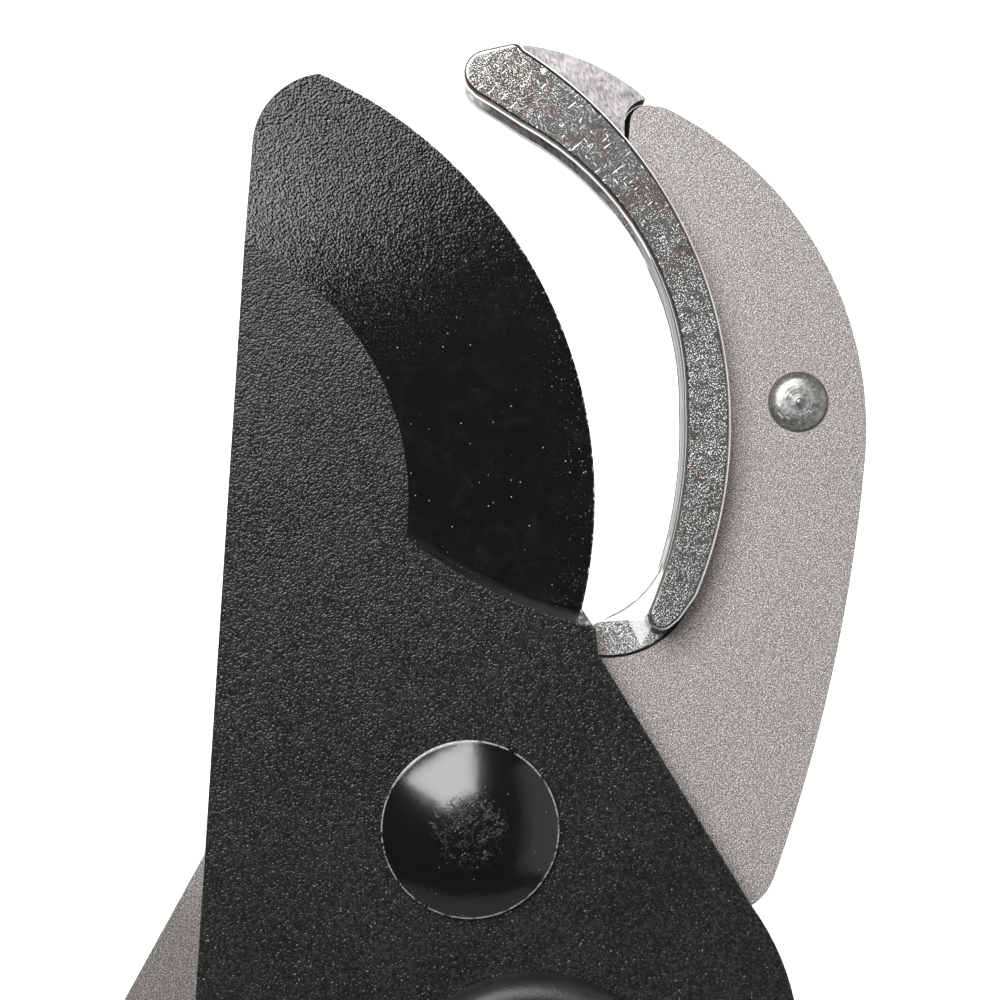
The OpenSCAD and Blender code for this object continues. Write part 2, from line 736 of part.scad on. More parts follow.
// Screw with a head at each side, drawn along z through a socket
module through_screw(x) translate([x, 0, 0]) difference() {
    half = socket_t / 2 - 1;
    head_h = 0.9;
    union() {
        translate([0, 0, -half]) cylinder(h = 2 * half, d = screw_d);
        for (z = [0, 1]) mirror([0, 0, z]) translate([0, 0, half])
            cylinder(h = head_h, d = screw_head_d - 4 * seat_gap);
    }
    for (z = [0, 1]) mirror([0, 0, z]) translate([0, 0, half + head_h]) key_recess(screw_af, 2 * head_h);
}

// Rivets with low domed heads on both sides
module through_rivets(start) {
    dome = 1.4;
    for (s = stud_at) translate([start + solid_l + s, 0, 0]) {
        translate([0, 0, -socket_t / 2]) cylinder(h = socket_t, d = stud_d);
        for (z = [0, 1]) mirror([0, 0, z]) translate([0, 0, socket_t / 2]) rotate_extrude()
            polygon(concat([[0, 0], [stud_head_d / 2, 0]],
                [for (i = [0:6]) let (a = i * 15) [stud_head_d / 2 * cos(a), 0.4 + (dome - 0.4) * sin(a)]]));
    }
}

// Rubber bumper with a domed face, seated in the side of a socket
module bumper(at) translate([at, socket_w / 2 - bumper_in, 0]) rotate([-90, 0, 0]) rotate_extrude()
    polygon(concat([[0, 0], [bumper_d / 2, 0], [bumper_d / 2, bumper_in + bumper_out - 2]],
        [for (i = [0:6]) let (a = i * 15) [bumper_d / 2 * cos(a), bumper_in + bumper_out - 2 + 2 * sin(a)]]));

module tube(start, end) difference() {
    along(start, end) difference() {
        oval_2d(tube_w, tube_t);
        oval_2d(tube_w - 2 * tube_wall, tube_t - 2 * tube_wall);
    }
    for (s = stud_at) translate([start + s, 0, -tube_t]) cylinder(h = 2 * tube_t, d = stud_d);
}

// Grip: a loft of rounded sections along the handle
function ease(f) = (1 - cos(180 * min(1, max(0, f)))) / 2;
function grip_half_w(f) =
    let (swell = ease(f / 0.62) * (1 - 0.55 * ease((f - 0.62) / 0.26)))
    let (collar = 1.2 * ease(1 - f / 0.1), flare = 2.4 * ease((f - 0.86) / 0.12))
    tube_w / 2 + 1.2 + (grip_w / 2 - tube_w / 2 - 1.2) * swell + collar + flare;
function grip_half_t(f) = grip_t / 2 - 1 + ease(f / 0.6) - 0.7 * ease((f - 0.62) / 0.2)
    + 0.7 * ease((f - 0.84) / 0.1);
function rib(f) = f < 0.14 || f > 0.8 ? 0 : rib_depth * pow(sin(180 * rib_count * (f - 0.14) / 0.66), 2);
function lobe(c, e) = sign(c) * pow(abs(c), e);

module grip_loft(a, l) {
    rings = 64;
    sides = 24;
    soft = 0.72;
    points = [for (i = [0:rings], k = [0:sides - 1])
        let (f = i / rings, t = 360 * (k + 0.5) / sides)
        let (w = grip_half_w(f) - (cos(t) > 0.25 ? rib(f) * cos(t) : 0))
        [a + l * f, w * lobe(cos(t), soft), grip_half_t(f) * lobe(sin(t), soft)]];
    sides_faces = [for (i = [0:rings - 1], k = [0:sides - 1]) let (n = (k + 1) % sides)
        [i * sides + k, (i + 1) * sides + k, (i + 1) * sides + n, i * sides + n]];
    polyhedron(points, concat(sides_faces,
        [[for (k = [0:sides - 1]) k], [for (k = [sides - 1:-1:0]) rings * sides + k]]), convexity = 4);
}

module grip(end) difference() {
    grip_loft(end - cap_l - grip_l, grip_l);
    along(end - cap_l - grip_l - 1, end - cap_l + 1) oval_2d(tube_w, tube_t);
}

// End cap: a collar behind the grip, a plug in the tube and a tab with the hang hole
module end_cap(end) difference() {
    union() {
        along(end - cap_l, end - cap_l + 3) rounded_2d(grip_w - 3, grip_t - 4, 9);
        along(end - cap_l - 14, end - cap_l) oval_2d(tube_w - 2 * tube_wall, tube_t - 2 * tube_wall);
        translate([0, 0, -cap_t / 2]) linear_extrude(cap_t) {
            disc([end - tab_r(), 0], tab_r());
            translate([end - cap_l, -tab_r()]) square([cap_l - tab_r(), 2 * tab_r()]);
        }
    }
    translate([end - tab_r(), 0, -cap_t]) cylinder(h = 2 * cap_t, d = hang_d);
}
function tab_r() = 11;

module left_screw() color(steel) in_left() through_screw(left_start + screw_at);
module left_rivets() color(steel) in_left() through_rivets(left_start);
module left_bumper() color("#2a2a2a") in_left() bumper(left_bumper_at);
module left_tube() color("#3a3c40") in_left() tube(left_tube_start, left_l - cap_l);
module left_grip() color("#222224") in_left() grip(left_l);
module left_end_cap() color("#6e6e70") in_left() end_cap(left_l);

module right_screw() color(steel) in_right() through_screw(right_start + screw_at);
module right_rivets() color(steel) in_right() through_rivets(right_start);
module right_bumper() color("#2a2a2a") in_right() bumper(bumper_from_hub);
module right_tube() color("#3a3c40") in_right() tube(right_tube_start, right_l - cap_l);
module right_grip() color("#222224") in_right() grip(right_l);
module right_end_cap() color("#6e6e70") in_right() end_cap(right_l);

anvil_plate();
anvil_insert();
anvil_rivet();
pivot_bolt();
pivot_shim();
pivot_lock_washer();
pivot_nut();
blade();
pivot_bush();
gear_plate();
hub_pin();
hub_shim();
hub_nut();
left_socket_front();
left_socket_back();
left_screw();
left_rivets();
left_bumper();
left_tube();
left_grip();
left_end_cap();
right_socket_front();
right_socket_back();
right_screw();
right_rivets();
right_bumper();
right_tube();
right_grip();
right_end_cap();
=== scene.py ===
import json
import math
import bmesh
import bpy
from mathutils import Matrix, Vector

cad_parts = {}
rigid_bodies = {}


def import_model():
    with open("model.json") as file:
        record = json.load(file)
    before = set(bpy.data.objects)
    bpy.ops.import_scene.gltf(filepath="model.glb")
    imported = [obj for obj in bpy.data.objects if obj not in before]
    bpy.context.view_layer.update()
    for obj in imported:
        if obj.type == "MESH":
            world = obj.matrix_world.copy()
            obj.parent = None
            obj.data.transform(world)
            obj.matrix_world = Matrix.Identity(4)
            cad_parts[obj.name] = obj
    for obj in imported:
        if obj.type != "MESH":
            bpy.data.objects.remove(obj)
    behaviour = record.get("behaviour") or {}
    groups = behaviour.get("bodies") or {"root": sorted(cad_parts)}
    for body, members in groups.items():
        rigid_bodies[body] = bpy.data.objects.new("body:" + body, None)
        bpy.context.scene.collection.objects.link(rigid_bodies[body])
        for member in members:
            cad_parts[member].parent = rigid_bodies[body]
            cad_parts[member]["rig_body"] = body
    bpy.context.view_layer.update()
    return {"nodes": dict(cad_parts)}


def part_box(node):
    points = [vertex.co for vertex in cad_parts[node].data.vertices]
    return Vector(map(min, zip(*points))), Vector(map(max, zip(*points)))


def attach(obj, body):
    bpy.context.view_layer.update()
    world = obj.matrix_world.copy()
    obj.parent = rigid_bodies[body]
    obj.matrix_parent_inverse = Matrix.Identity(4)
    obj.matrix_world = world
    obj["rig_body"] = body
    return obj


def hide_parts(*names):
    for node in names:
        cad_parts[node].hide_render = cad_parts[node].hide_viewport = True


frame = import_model()
nodes = frame["nodes"]
print("frame loaded:", len(nodes), "nodes")

mm = 0.001

# places that several pieces and finishes share, in millimetres from the main pivot
head = {
    "plateFront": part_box("anvil_plate")[1].z / mm,
    "bladeFront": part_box("blade")[1].z / mm,
    "insertBack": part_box("anvil_insert")[0].z / mm,
    "ridgeTop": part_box("anvil_insert")[1].z / mm,
    "edgeCentre": (-45.5, 43.3),  # arc of the cutting edge
    "edgeRadius": 62.0,
    "grindWidth": 24.6,
    "runoutCentre": (30.0, 86.6),  # arc where the grind runs out
    "runoutRadius": 61.6,
    "tip": (-20.0, 99.7),
    "domeRadius": 11.8,
    "rivet": (43.7, 56.3),
    "footCentre": (18.4, 34.1),  # round foot of the insert
    "footRadius": 11.5,
    "footReach": 40.0,
    "openingCentre": (13.44, 39.96),  # rim of the foot's facet
    "openingRadius": 13.3,
    "noseCentre": (25.52, 27.5),  # blunt end of the ridge
    "noseRadius": 1.85,
    "closedCentre": (-34.04, 52.79),  # centre of the inner wall, where the edge's arc closes
    "wallRadius": 62.3,
    "plateEnd": (23.624, 93.572),  # round end of the hooked plate
}


# Shader helpers

class Wire:
    # one output of a node, with the usual operators
    def __init__(self, finish, socket):
        self.finish = finish
        self.socket = socket

    def calc(self, operation, first, second=0.0, clamp=False):
        settings = {"operation": operation, "use_clamp": clamp}
        return self.finish.node("ShaderNodeMath", settings, {0: first, 1: second})

    def __add__(self, other):
        return self.calc("ADD", self, other)

    def __radd__(self, other):
        return self.calc("ADD", other, self)

    def __sub__(self, other):
        return self.calc("SUBTRACT", self, other)

    def __rsub__(self, other):
        return self.calc("SUBTRACT", other, self)

    def __mul__(self, other):
        return self.calc("MULTIPLY", self, other)

    def __rmul__(self, other):
        return self.calc("MULTIPLY", other, self)

    def __truediv__(self, other):
        return self.calc("DIVIDE", self, other)

    def clamped(self):
        return self.calc("ADD", self, 0.0, clamp=True)


class Finish:
    # a material under construction
    def __init__(self, name):
        self.material = bpy.data.materials.new(name)
        self.material.use_nodes = True
        self.tree = self.material.node_tree
        self.tree.nodes.clear()
        self.place = self.node("ShaderNodeTexCoord", {}, {}, "Object")
        self.shader = self.tree.nodes.new("ShaderNodeBsdfPrincipled")
        output = self.tree.nodes.new("ShaderNodeOutputMaterial")
        self.tree.links.new(self.shader.outputs[0], output.inputs[0])

    def node(self, kind, settings, inputs, output=0):
        made = self.tree.nodes.new(kind)
        for key, value in settings.items():
            if key == "stops":
                ramp = made.color_ramp
                while len(ramp.elements) < len(value):
                    ramp.elements.new(1.0)
                for element, (position, color) in zip(ramp.elements, value):
                    element.position = position
                    element.color = color
            else:
                setattr(made, key, value)
        for key, value in inputs.items():
            if isinstance(value, Wire):
                self.tree.links.new(value.socket, made.inputs[key])
            else:
                made.inputs[key].default_value = value
        return Wire(self, made.outputs[output])

    def set(self, **values):
        names = {"color": "Base Color", "rough": "Roughness", "metal": "Metallic",
                 "coat": "Coat Weight", "coatRough": "Coat Roughness",
                 "specular": "Specular IOR Level", "normal": "Normal",
                 "glow": "Emission Strength", "glowColor": "Emission Color"}
        for key, value in values.items():
            socket = self.shader.inputs[names[key]]
            if isinstance(value, Wire):
                self.tree.links.new(value.socket, socket)
            else:
                socket.default_value = (*value, 1.0) if isinstance(value, tuple) else value

    def noise(self, size, detail=2.0, rough=0.5, bend=0.0, place=None):
        # size is the width of one blotch in millimetres
        inputs = {"Vector": place or self.place, "Scale": 1 / (size * mm), "Detail": detail,
                  "Roughness": rough, "Distortion": bend}
        return self.node("ShaderNodeTexNoise", {}, inputs)

    def cells(self, size, output="Distance"):
        inputs = {"Vector": self.place, "Scale": 1 / (size * mm), "Randomness": 1.0}
        return self.node("ShaderNodeTexVoronoi", {"feature": "F1"}, inputs, output)

    def chance(self, size):
        # one random value for each cell of that size
        return self.node("ShaderNodeSeparateColor", {}, {"Color": self.cells(size, "Color")})

    def turned(self, angle, longer=1.0):
        # coordinates turned about Z, in which a texture is longer along its own Y
        inputs = {"Vector": self.place, "Rotation": (0, 0, angle), "Scale": (1, longer, 1)}
        return self.node("ShaderNodeMapping", {"vector_type": "TEXTURE"}, inputs)

    def step(self, value, low, high):
        # 0 at low, 1 at high, soft between them; low may be the larger one
        inputs = {"Value": value, "From Min": low, "From Max": high}
        return self.node("ShaderNodeMapRange", {"interpolation_type": "SMOOTHSTEP"}, inputs)

    def side(self, direction, low, high):
        # 1 beyond a straight line across a direction, in millimetres
        return self.step(self.along(*direction), low, high)

    def band(self, value, start, full, fade, end):
        # rises from start to full, falls from fade to end
        return self.step(value, end, fade) * self.step(value, start, full)

    def blend(self, factor, first, second):
        inputs = {0: factor, 6: first if isinstance(first, Wire) else (*first, 1.0),
                  7: second if isinstance(second, Wire) else (*second, 1.0)}
        return self.node("ShaderNodeMix", {"data_type": "RGBA"}, inputs, 2)

    def shades(self, value, *stops):
        stops = [(position, (*color, 1.0)) for position, color in stops]
        return self.node("ShaderNodeValToRGB", {"stops": stops}, {"Fac": value})

    def far(self, centre):
        # distance from an axis along Z, in millimetres
        point = (centre[0] * mm, centre[1] * mm, 0.0)
        kind = "ShaderNodeVectorMath"
        offset = self.node(kind, {"operation": "SUBTRACT"}, {0: self.place, 1: point})
        flat = self.node(kind, {"operation": "MULTIPLY"}, {0: offset, 1: (1, 1, 0)})
        return self.node(kind, {"operation": "LENGTH"}, {0: flat}, "Value") / mm

    def along(self, x, y, z):
        # place measured along a direction, in millimetres
        inputs = {0: self.place, 1: (x, y, z)}
        return self.node("ShaderNodeVectorMath", {"operation": "DOT_PRODUCT"}, inputs, "Value") / mm

    def bump(self, height, depth):
        # depth is the height of the relief in millimetres
        inputs = {"Height": height, "Distance": depth * mm, "Strength": 1.0}
        return self.node("ShaderNodeBump", {}, inputs)

    def scratches(self, size, angle, share, longer):
        # short straight marks, each about size wide: the peaks of stretched noise
        peaks = self.noise(size * 2, detail=1.0, place=self.turned(angle, longer))
        level = 0.72 - share * 0.9
        return self.step(peaks, level, level + 0.05)

    def specks(self, size, share, sharp):
        # small round dots: cells whose random value falls under the share
        dots = self.step(self.cells(size), sharp, sharp * 0.5)
        return dots * self.step(self.chance(size), share, share * 0.9)


def times(color, factor):
    return tuple(min(1.0, c * factor) for c in color)


# Finishes. Sizes are in millimetres, tones are linear

def bladeCoating():
    look = {
        "flat": (0.0160, 0.0148, 0.0150), "ground": (0.0048, 0.0045, 0.0047),
        "rubbedAndPaintedSheen": (0.036, 0.035, 0.035), "paintedGlint": (0.30, 0.29, 0.285), "bareAndGlint": (0.55, 0.55, 0.56),
        "flatGrain": 0.26, "tipGrain": 0.27, "paintedGlintGrain": 0.20, "tipReach": 44.0,
        "edgeShade": 21.0, "chipZone": 7.0, "rimWidth": 0.24, "slopeWidth": 1.5,
        "heelSide": ((1.0, 0.0, 0.0), -8.0, 11.0),
        "relief": 0.10, "rough": 0.13, "specular": 0.32,
    }
    f = Finish("bladeCoating")
    edge, runout = head["edgeRadius"], head["runoutRadius"]
    inner = edge - head["grindWidth"]
    fromEdge = f.far(head["edgeCentre"])
    fromRunout = f.far(head["runoutCentre"])
    fromTip = f.far(head["tip"])
    ground = f.step(fromEdge, inner - 0.1, inner + 0.1) * f.step(fromRunout, runout + 0.2, runout - 0.2)
    # the flat: fine grain over slow changes of tone
    grain = f.noise(look["flatGrain"], detail=0.6, place=f.turned(0.5))
    flat = f.shades(grain * 0.8 + f.noise(9.0, detail=3.0, rough=0.6) * 0.2,
                    (0.3, times(look["flat"], 0.5)), (0.5, look["flat"]),
                    (0.66, times(look["flat"], 2.2)))
    # the ground face: clouded, with painted glints towards the tip that fade near the cutting edge
    cloud = f.noise(3.5, detail=5.0, rough=0.7, bend=0.8)
    dark = f.blend(f.step(cloud, 0.45, 0.8), look["ground"], times(look["ground"], 2.5))
    tipZone = f.step(fromTip, look["tipReach"], 4.0) * ground
    offEdge = f.step(fromEdge, edge - 3.0, edge - look["edgeShade"]) * 0.8 + 0.2
    paintedGlint = f.noise(look["paintedGlintGrain"], detail=0.6, place=f.turned(0.3))
    dark = f.blend(f.step(paintedGlint, 0.60, 0.68) * tipZone * offEdge, dark, look["paintedGlint"])
    color = f.blend(ground, flat, dark)
    # painted highlight: the slope where the grind runs out is painted a lighter grey, most of all at
    # the heel
    slope = f.step(fromRunout, runout - look["slopeWidth"], runout - 0.5) * ground
    slope = slope * (f.side(*look["heelSide"]) * 0.85 + 0.15)
    color = f.blend(slope, color, look["rubbedAndPaintedSheen"])
    # painted glints on the grain of the flat; worn through in small spots on the ground face and along
    # the edge
    glints = f.specks(0.5, 0.05, 0.3) * (1 - ground)
    fineDust = f.specks(0.34, 0.05, 0.3) * f.step(fromTip, look["tipReach"], 20.0)
    dust = (f.specks(0.6, 0.05, 0.2) + fineDust) * ground
    nearEdge = f.step(fromEdge, edge - look["chipZone"], edge - 0.4) * ground
    chips = f.step(f.noise(0.30, detail=3.0, rough=0.7), 0.66, 0.70) * nearEdge
    rim = f.step(fromEdge, edge - look["rimWidth"], edge - look["rimWidth"] / 2) * ground
    rim = rim * f.step(f.noise(0.8, detail=4.0, rough=0.8), 0.52, 0.60)
    worn = (glints * 0.30 + dust * 0.7 + chips * 0.6 + rim * 0.8).clamped()
    color = f.blend(worn, color, look["bareAndGlint"])
    # leather-like relief, coarse on the tip of the ground face and finer on the flat
    leather = f.noise(look["tipGrain"], detail=0.6, place=f.turned(0.6, 1.25)) * 1.1
    slurry = (f.noise(2.6, detail=3.0, rough=0.55, bend=0.5) * 0.6
              + f.noise(0.36, detail=0.6, place=f.turned(0.6)) * 0.26)
    relief = grain * 0.8 * (1 - ground) + (leather * tipZone + slurry) * ground
    f.set(color=color, rough=look["rough"] + worn * 0.3, specular=look["specular"],
          normal=f.bump(relief, look["relief"]))
    return f.material


def plateSteel():
    look = {
        "tone": (0.272, 0.259, 0.245), "pit": (0.05, 0.045, 0.04), "lowerLeftTone": (0.02, 0.018, 0.016),
        "paintedShade": (0.01, 0.01, 0.01), "grain": 0.16, "depth": 0.02, "metal": 0.25, "rough": 0.5,
        "tangSide": ((0.55, 0.83, 0.0), -18.0, -34.0), "gapReach": (4.0, 3.4),
        "ringReach": (4.15, 3.95),
    }
    f = Finish("plateSteel")
    grain = f.noise(look["grain"], detail=0.5, place=f.turned(0.6))
    base = f.shades(grain, (0.25, times(look["tone"], 0.2)), (0.5, look["tone"]),
                    (0.62, times(look["tone"], 1.8)), (0.75, times(look["tone"], 3.5)))
    color = f.blend(f.specks(2.6, 0.12, 0.08) * 0.8, base, look["pit"])
    # the plate is darker towards the lower left, over the tang below the blade
    color = f.blend(f.side(*look["tangSide"]) * 0.45, color, look["lowerLeftTone"])
    # painted shade in the gap behind the hook and around the rivet
    front = head["plateFront"]
    gap = f.step(f.along(0.0, 0.0, 1.0), front - 0.05, front - 0.25)
    gap = gap * f.step(f.far(head["plateEnd"]), *look["gapReach"])
    ring = f.step(f.far(head["rivet"]), *look["ringReach"])
    color = f.blend((gap * 0.95 + ring * 0.8).clamped(), color, look["paintedShade"])
    f.set(color=color, metal=look["metal"], rough=look["rough"], normal=f.bump(grain, look["depth"]))
    return f.material


def anvilChrome():
    look = {
        "tone": (0.80, 0.785, 0.775), "tarnish": (0.72, 0.66, 0.58), "line": (0.05, 0.048, 0.05),
        "grime": (0.22, 0.21, 0.21), "bright": (0.98, 0.98, 0.98), "facet": (0.86, 0.86, 0.86),
        # the painted reflection on the inner wall from its back to its front, and the brushed wedge
        # from dark to light
        "wall": ((0.0, (0.14, 0.14, 0.15)), (0.12, (0.20, 0.20, 0.21)), (0.22, (0.55, 0.55, 0.56)),
                 (0.42, (0.50, 0.50, 0.51)), (0.52, (0.24, 0.24, 0.25)), (0.62, (0.55, 0.55, 0.56)),
                 (0.80, (0.40, 0.39, 0.38)), (0.92, (0.05, 0.048, 0.045))),
        "satin": ((0.34, (0.13, 0.125, 0.13)), (0.5, (0.27, 0.26, 0.27)),
                  (0.66, (0.44, 0.42, 0.41))),
        "polish": 0.08, "depth": 0.012,
        # where things begin and are full, going up the insert
        "wedge": (80.0, 84.0), "fresh": (56.0, 92.0), "noseWear": (29.5, 27.5), "wallEnd": (33.0, 34.5),
        # the straight sides of the two facets of the foot
        "facetSide": ((-0.06, 1.0, 0.0), 25.8, 26.1),
        "narrowSides": (((0.914, 0.406, 0.0), 30.2, 30.5), ((-0.867, 0.498, 0.0), -8.0, -7.7)),
    }
    f = Finish("anvilChrome")
    front, top = head["plateFront"], head["ridgeTop"]
    up = f.along(0.0, 1.0, 0.0)
    height = f.along(0.0, 0.0, 1.0)
    low = f.step(height, front + 0.6, front + 0.3)
    wedge = low * f.step(up, *look["wedge"])
    foot = low * f.step(up, head["footReach"], head["footReach"] - 2.0)
    foot = foot * f.step(height, front - 1.4, front - 0.9)
    # the facet towards the opening, and the narrow one that runs down beside the ridge
    left, right = look["narrowSides"]
    narrow = f.side(*left) * f.side(*right) * foot
    facet = (f.side(*look["facetSide"]) * foot + narrow * 0.7).clamped()
    # the level faces are worn, the rounded rim of the ridge stays clean
    level = f.step(height, top - 0.06, top - 0.02) + low * (1 - wedge) * (1 - facet)
    slanted = f.turned(0.7)
    marks = f.scratches(0.08, -0.9, 0.025, 10.0) + f.scratches(0.07, 0.6, 0.015, 7.0)
    dots = f.step(f.noise(0.18, detail=1.0, rough=0.6, place=slanted), 0.55, 0.63)
    patches = f.step(f.noise(1.6, detail=3.0, rough=0.6), 0.3, 0.55) * 0.65 + 0.3
    worn = patches * (1 - f.step(up, *look["fresh"]) * 0.62) + f.step(up, *look["noseWear"])
    wear = ((marks * 0.9 + dots * worn) * level).clamped()
    grime = f.step(f.noise(0.24, detail=3.0, rough=0.7, place=slanted), 0.48, 0.34) * level
    speckle = f.step(f.noise(0.3, detail=2.0, rough=0.65, place=slanted), 0.52, 0.42)
    speckle = speckle * foot * (1 - facet)
    stain = f.step(f.noise(5.0, detail=3.0, rough=0.6), 0.45, 0.7)
    color = f.blend(stain, look["tone"], look["tarnish"])
    color = f.blend(grime * 0.6, color, look["grime"])
    color = f.blend(speckle * 0.7, color, look["line"])
    color = f.blend(wear * 0.9, color, look["bright"])
    # painted reflection: a dark line where the rim begins; painted shade beside the blunt end of the
    # ridge
    rim = f.band(height, top - 0.14, top - 0.08, top - 0.02, top - 0.005)
    nose = head["noseRadius"]
    beside = f.step(f.far(head["noseCentre"]), nose + 0.55, nose + 0.3) * low
    color = f.blend(rim * 0.75 + beside * 0.85, color, look["line"])
    # painted reflection: the inner wall is painted in grey bands along its height
    wall = head["wallRadius"]
    inner = f.band(f.far(head["closedCentre"]), wall - 0.5, wall - 0.3, wall + 0.4, wall + 0.55)
    inner = inner * f.step(height, top - 0.3, top - 0.6) * f.step(up, *look["wallEnd"])
    share = (height - head["insertBack"]) / (top - head["insertBack"])
    color = f.blend(inner, color, f.shades(share, *look["wall"]))
    # painted reflection: the facet is painted white; a fine grey line runs along its rim
    color = f.blend(facet * 0.8, color, look["facet"])
    arc = head["openingRadius"]
    opening = f.band(f.far(head["openingCentre"]), arc - 0.12, arc - 0.04, arc + 0.04, arc + 0.12)
    color = f.blend(opening * facet * 0.8, color, look["line"])
    # the low wedge behind the hook is brushed, not polished
    brushed = (f.noise(0.3, detail=2.0, rough=0.6, place=f.turned(0.3, 3.0)) * 0.6
               + f.noise(2.0, detail=3.0, rough=0.6) * 0.4)
    satin = f.blend(f.specks(0.6, 0.2, 0.35) * 0.7, f.shades(brushed, *look["satin"]), look["line"])
    color = f.blend(wedge, color, satin)
    clean = (1 - level) * f.step(height, top - 0.8, top - 0.4)
    cloud = f.noise(2.2, detail=4.0, rough=0.7, bend=0.5)
    rough = (look["polish"] + f.step(cloud, 0.4, 0.8) * 0.04 + wear * 0.4 + wedge * 0.33
             + facet * 0.25 + clean * 0.15)
    # the inner wall and the facets would mirror the floor, so they are less metallic
    metal = (1 - facet * 0.75 - foot * 0.25 - inner).clamped()
    f.set(color=color, metal=metal, rough=rough, specular=0.0, normal=f.bump(cloud, look["depth"]))
    return f.material


def rivetSteel():
    look = {"dark": (0.15, 0.145, 0.14), "tone": (0.31, 0.30, 0.29), "light": (0.52, 0.52, 0.52),
            "scuff": (0.95, 0.95, 0.95), "metal": 0.9, "rough": 0.36, "depth": 0.03}
    f = Finish("rivetSteel")
    # rings left by turning, around the axis of the rivet
    turns = f.far(head["rivet"]) * 14.0 + f.noise(1.5) * 3.0
    rings = f.node("ShaderNodeMath", {"operation": "SINE"}, {0: turns})
    marks = f.noise(0.5, detail=3.0, rough=0.7)
    color = f.shades(marks * 0.7 + f.noise(2.2) * 0.3, (0.34, look["dark"]), (0.5, look["tone"]),
                     (0.68, look["light"]))
    color = f.blend(f.scratches(0.16, 0.9, 0.03, 6.0), color, look["scuff"])
    relief = rings * 0.12 + marks * 0.4 + f.noise(1.6) * 0.8
    f.set(color=color, metal=look["metal"], rough=look["rough"] + marks * 0.12,
          normal=f.bump(relief, look["depth"]))
    return f.material


def steel(name, tone, rough):
    look = {"grain": 0.5, "cloud": 7.0, "depth": 0.006, "scuff": (0.9, 0.9, 0.9)}
    f = Finish(name)
    marks = f.noise(look["grain"], detail=3.0, rough=0.7)
    scuffs = f.scratches(0.2, 0.6, 0.03, 12.0)
    color = f.shades(marks * 0.6 + f.noise(look["cloud"]) * 0.4, (0.3, times(tone, 0.75)),
                     (0.6, tone), (0.8, times(tone, 1.2)))
    color = f.blend(scuffs * 0.4, color, look["scuff"])
    f.set(color=color, metal=1.0, rough=rough + marks * 0.15,
          normal=f.bump(marks + scuffs, look["depth"]))
    return f.material


def pivotBlack():
    look = {"paint": (0.0014, 0.0014, 0.0015), "bareAndGlint": (0.75, 0.74, 0.72), "ringWidth": 0.34,
            "rough": 0.17, "specular": 0.65, "depth": 0.09}
    f = Finish("pivotBlack")
    fromAxis = f.far((0.0, 0.0))
    middle = f.step(fromAxis, 6.0, 1.5)
    dings = f.noise(1.1, detail=4.0, rough=0.75, bend=1.6)
    dents = f.step(dings, 0.52, 0.72) * middle
    flecks = f.specks(0.5, 0.05, 0.2) + f.specks(0.32, 0.16, 0.3) * middle
    # a few bare flecks, and painted highlights: sparkles on the dents and a broken bright ring around
    # the edge
    rim = head["domeRadius"]
    ring = f.band(fromAxis, rim - look["ringWidth"], rim - 0.24, rim - 0.14, rim - 0.04)
    ring = ring * f.step(f.noise(0.9, detail=3.0, rough=0.75), 0.40, 0.54)
    light = flecks * 0.35 + ring * 0.4 + f.step(dings, 0.64, 0.70) * middle * 0.4
    light = light.clamped()
    relief = dents * 1.2 + f.noise(0.5, detail=3.0, rough=0.6) * 0.05 + f.noise(6.0) * 0.9
    f.set(color=f.blend(light, look["paint"], look["bareAndGlint"]),
          rough=look["rough"] + dents * 0.08 + light * 0.25, specular=look["specular"],
          normal=f.bump(relief, look["depth"]))
    return f.material


def plastic(name, tone, rough, grain=0.35, depth=0.02):
    f = Finish(name)
    scuffs = f.noise(6.0, detail=5.0, rough=0.7)
    rubbedAndPaintedSheen = tuple(c * 1.5 + 0.006 for c in tone)
    f.set(color=f.shades(scuffs, (0.35, tone), (0.75, rubbedAndPaintedSheen)),
          rough=rough + f.step(scuffs, 0.45, 0.8) * 0.1, normal=f.bump(f.cells(grain), depth))
    return f.material


def tubePaint():
    look = {"paint": (0.028, 0.030, 0.033), "flake": (0.16, 0.17, 0.18), "metal": 0.3,
            "rough": 0.34, "coat": 0.3, "coatRough": 0.15, "depth": 0.008}
    f = Finish("tubePaint")
    peel = f.noise(1.2)
    color = f.blend(f.specks(0.3, 0.3, 0.4) * 0.25, look["paint"], look["flake"])
    f.set(color=color, metal=look["metal"], rough=look["rough"] + peel * 0.06, coat=look["coat"],
          coatRough=look["coatRough"], normal=f.bump(peel, look["depth"]))
    return f.material


finishes = {
    "blade": bladeCoating(), "plate": plateSteel(), "chrome": anvilChrome(),
    "rivet": rivetSteel(), "pivot": pivotBlack(),
    "stud": steel("studSteel", (0.60, 0.59, 0.57), 0.26),
    "zinc": steel("zincSteel", (0.50, 0.50, 0.51), 0.32),
    "washer": steel("washerSteel", (0.58, 0.58, 0.57), 0.3),
    "bronze": steel("bushBronze", (0.55, 0.33, 0.12), 0.35),
    "socket": plastic("socketBlack", (0.009, 0.009, 0.0095), 0.46),
    "rubber": plastic("bumperRubber", (0.012, 0.012, 0.012), 0.62, 0.5, 0.03),
    "grip": plastic("gripRubber", (0.016, 0.016, 0.017), 0.6, 0.45, 0.04),
    "cap": plastic("capGrey", (0.14, 0.14, 0.145), 0.45), "tube": tubePaint(),
}
print("finishes made")


# Modelling helpers

# how near counts as the same, in millimetres: joined points, slivers, the height of a face, its
# evenness, a corner and an arc. bend is in degrees, and a normal that rises above up faces upward
near = {"weld": 0.002, "sliver": 0.02, "level": 0.1, "even": 0.01, "corner": 0.05, "arc": 0.03,
        "bend": 0.1, "up": 0.9}


def selectOnly(piece):
    bpy.ops.object.select_all(action="DESELECT")
    piece.select_set(True)
    bpy.context.view_layer.objects.active = piece


